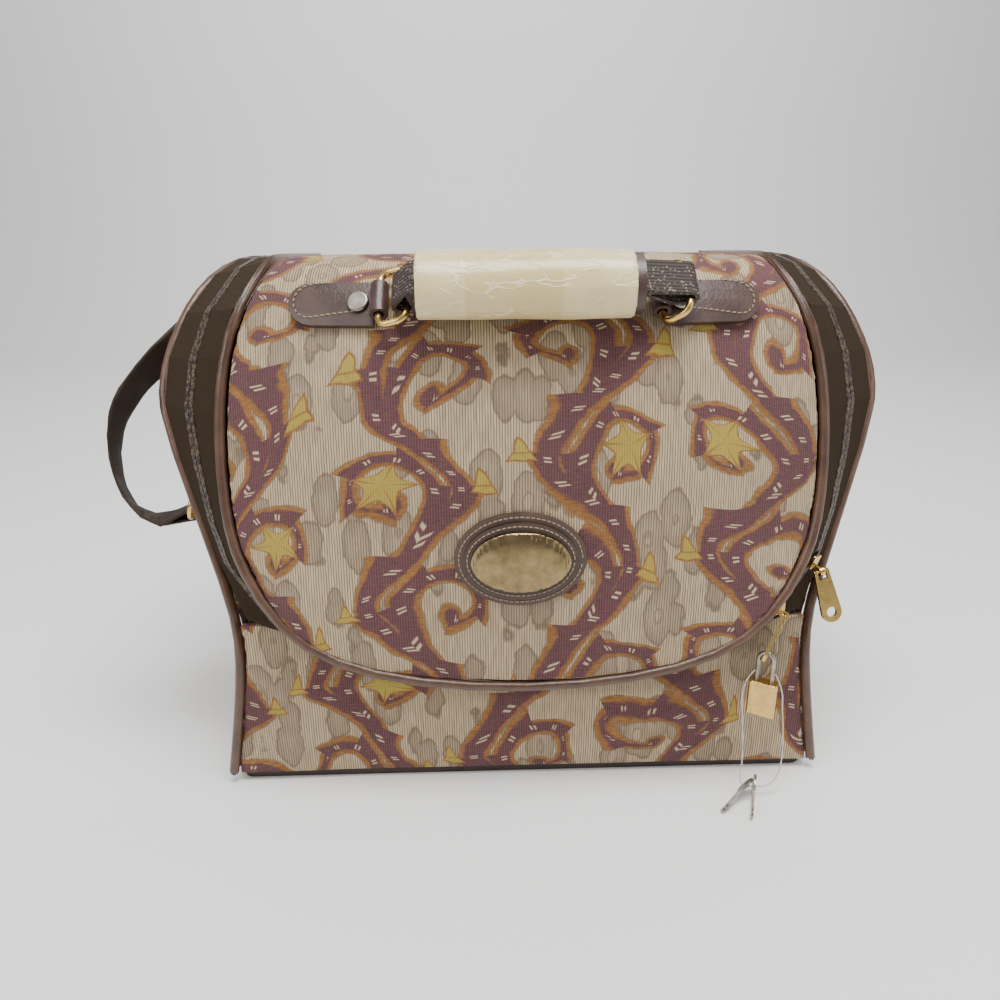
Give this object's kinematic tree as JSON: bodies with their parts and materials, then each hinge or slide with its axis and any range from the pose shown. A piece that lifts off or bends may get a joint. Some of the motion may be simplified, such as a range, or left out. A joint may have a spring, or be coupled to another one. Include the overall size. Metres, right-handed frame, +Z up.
{
  "type": "carpet bag",
  "caption": "Soft tapestry travel bag with a wrap-over lid, leather piping, a zipped mouth and a padded handle.",
  "frame": {"origin": "middle of the base's underside, on the floor", "axes": "+Z up, -Y towards the front, +X to the viewer's right"},
  "size_m": [0.435, 0.2403, 0.2826],
  "materials": {
    "tapestry": "woven tapestry with a scrolling vine",
    "lining": "plain woven lining",
    "base_leather": "dark brown leather",
    "piping_leather": "glossy brown leather over cord",
    "handle_leather": "dark brown stitched leather",
    "emblem_leather": "brown stitched leather",
    "emblem_inlay": "brown stitched leather",
    "emblem_metal": "darkened gold, bare",
    "zip_tape": "herringbone zip tape",
    "zip_coil": "moulded zip coil",
    "brass": "polished, a little dulled",
    "steel": "plated steel",
    "strap_webbing": "woven webbing",
    "handle_webbing": "ribbed webbing",
    "sleeve": "creased cream film",
    "thread": "clear nylon thread"
  },
  "bodies": {
    "case": {"base_panel": "base_leather", "front_lower_panel": "tapestry", "back_panel": "tapestry", "side_panel_left": "tapestry", "side_panel_right": "tapestry", "case_lining": "lining", "side_piping_left": "piping_leather", "side_piping_right": "piping_leather", "zip_tape_case": "zip_tape", "zip_coil_case": "zip_coil", "slider_side": "brass", "slider_front": "brass", "strap_tab_left": "handle_leather", "strap_tab_right": "handle_leather", "strap_ring_left": "brass", "strap_ring_right": "brass", "strap": "strap_webbing", "strap_slide": "brass"},
    "lid": {"lid_panel": "tapestry", "lid_lining": "lining", "lid_piping": "piping_leather", "zip_tape_lid": "zip_tape", "zip_coil_lid": "zip_coil", "emblem_patch_outer": "emblem_leather", "emblem_patch_inner": "emblem_inlay", "emblem_plate": "emblem_metal", "handle_tab_left": "handle_leather", "handle_tab_right": "handle_leather", "tab_rivets": "steel"},
    "handle": {"handle_webbing": "handle_webbing", "handle_grip": "handle_leather", "handle_sleeve": "sleeve"},
    "ring_left": {"handle_ring_left": "brass"},
    "ring_right": {"handle_ring_right": "brass"},
    "pull_side": {"pull_side": "brass"},
    "pull_front": {"pull_front": "brass", "padlock_shackle": "steel", "key_thread": "thread", "key_flat": "steel", "key_edge": "steel"},
    "padlock": {"padlock_body": "brass"}
  },
  "joints": [
    {"name": "lid_hinge", "type": "hinge", "parent": "case", "child": "lid", "pos_m": [0, 0.0842, 0.279], "axis": [-1, 0, 0], "range_deg": [0, 100]},
    {"name": "handle_lift", "type": "slide", "parent": "lid", "child": "handle", "axis": [0, -0.7218, 0.6921], "range_m": [0, 0.004]},
    {"name": "ring_left_hinge", "type": "hinge", "parent": "lid", "child": "ring_left", "pos_m": [-0.068, -0.09187, 0.26114], "axis": [0, -0.6921, -0.7218], "range_deg": [0, 18.88]},
    {"name": "ring_right_hinge", "type": "hinge", "parent": "lid", "child": "ring_right", "pos_m": [0.062, -0.09187, 0.26114], "axis": [0, -0.6921, -0.7218], "range_deg": [0, 30.71]},
    {"name": "pull_side_hinge", "type": "hinge", "parent": "case", "child": "pull_side", "pos_m": [0.154, -0.09534, 0.12239], "axis": [-0.9593, -0.1391, -0.2459], "range_deg": [0, 90]},
    {"name": "pull_front_hinge", "type": "hinge", "parent": "case", "child": "pull_front", "pos_m": [0.13379, -0.10368, 0.10173], "axis": [-0.4795, -0.8415, 0.249], "range_deg": [0, 60]},
    {"name": "padlock_slide", "type": "slide", "parent": "pull_front", "child": "padlock", "axis": [0, 0, -1], "range_m": [0, 0.004]}
  ],
  "couplings": [
    {"joint": "ring_left_hinge", "follows": "handle_lift", "rad_per_m": 82.38},
    {"joint": "ring_right_hinge", "follows": "handle_lift", "rad_per_m": 134}
  ]
}
